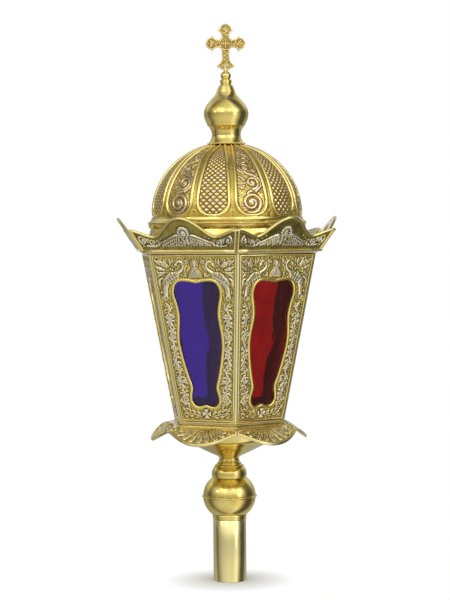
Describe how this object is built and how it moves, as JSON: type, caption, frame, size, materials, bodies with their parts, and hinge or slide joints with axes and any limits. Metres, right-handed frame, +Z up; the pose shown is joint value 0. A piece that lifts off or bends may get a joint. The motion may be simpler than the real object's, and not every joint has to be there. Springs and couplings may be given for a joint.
{
  "type": "processional lantern",
  "caption": "Tapered six-sided brass lantern with coloured glass, a hinged door, a flared crown, a ribbed dome with a cross finial, a scalloped skirt and a turned knob on a tube for a pole.",
  "frame": {"origin": "centre of the open end of the pole tube, at its bottom", "axes": "+Z up the pole, -Y towards the corner between the blue side and the red side that the picture shows, +X to that corner's right"},
  "size_m": [0.2516, 0.2678, 0.6402],
  "materials": {
    "polished_brass": "polished",
    "stamped_brass": "stamped relief, antiqued",
    "blue_glass": "clear coloured",
    "red_glass": "clear coloured",
    "steel": "plain",
    "wax": "satin"
  },
  "bodies": {
    "lantern": {"socket_tube": "polished_brass", "socket_plug": "steel", "socket_collar": "polished_brass", "tie_rod": "steel", "knob_lower_shell": "polished_brass", "knob_seam_ring": "polished_brass", "knob_upper_shell": "polished_brass", "neck_turning": "polished_brass", "bell_bowl": "polished_brass", "floor_plate": "polished_brass", "base_rail": "polished_brass", "skirt_petal_front_left": "stamped_brass", "skirt_petal_front_right": "stamped_brass", "skirt_petal_right": "stamped_brass", "skirt_petal_back_right": "stamped_brass", "skirt_petal_back_left": "stamped_brass", "skirt_petal_left": "stamped_brass", "corner_post_front": "polished_brass", "corner_post_front_right": "polished_brass", "corner_post_back_right": "polished_brass", "corner_post_back": "polished_brass", "corner_post_back_left": "polished_brass", "corner_post_front_left": "polished_brass", "side_panel_front_left": "stamped_brass", "side_panel_front_right": "stamped_brass", "side_panel_right": "stamped_brass", "side_panel_back_left": "stamped_brass", "side_panel_left": "stamped_brass", "glass_front_left": "blue_glass", "glass_front_right": "red_glass", "glass_right": "blue_glass", "glass_back_left": "blue_glass", "glass_left": "red_glass", "hinge_frame_leaf": "polished_brass", "hinge_pin": "steel", "turn_button_rivet": "polished_brass", "crown_rail": "polished_brass", "crown_crest_front_left": "stamped_brass", "crown_crest_front_right": "stamped_brass", "crown_crest_right": "stamped_brass", "crown_crest_back_right": "stamped_brass", "crown_crest_back_left": "stamped_brass", "crown_crest_left": "stamped_brass", "roof_drum": "polished_brass", "dome_ring": "polished_brass", "dome_shell": "stamped_brass", "finial_collar": "polished_brass", "finial_nut": "steel", "onion_cup": "polished_brass", "onion_shell": "polished_brass", "finial_tip": "polished_brass", "cross": "polished_brass", "rod_nut": "steel", "drip_pan": "polished_brass", "candle_cup": "polished_brass"},
    "door": {"door_panel": "stamped_brass", "door_glass": "red_glass", "hinge_door_leaf": "polished_brass"},
    "door_button": {"turn_button": "polished_brass"},
    "candle": {"candle": "wax"}
  },
  "joints": [
    {"name": "door_hinge", "type": "hinge", "parent": "lantern", "child": "door", "pos_m": [0, 0.07093, 0.18264], "axis": [0, 0.2058, 0.9786], "range_deg": [0, 110]},
    {"name": "button_turn", "type": "hinge", "parent": "lantern", "child": "door_button", "pos_m": [0.04181, 0.04442, 0.1869], "axis": [0.4919, 0.852, -0.1791], "range_deg": [0, 90]},
    {"name": "candle_lift", "type": "slide", "parent": "lantern", "child": "candle", "axis": [0, 0, 1], "range_m": [0, 0.03]}
  ]
}
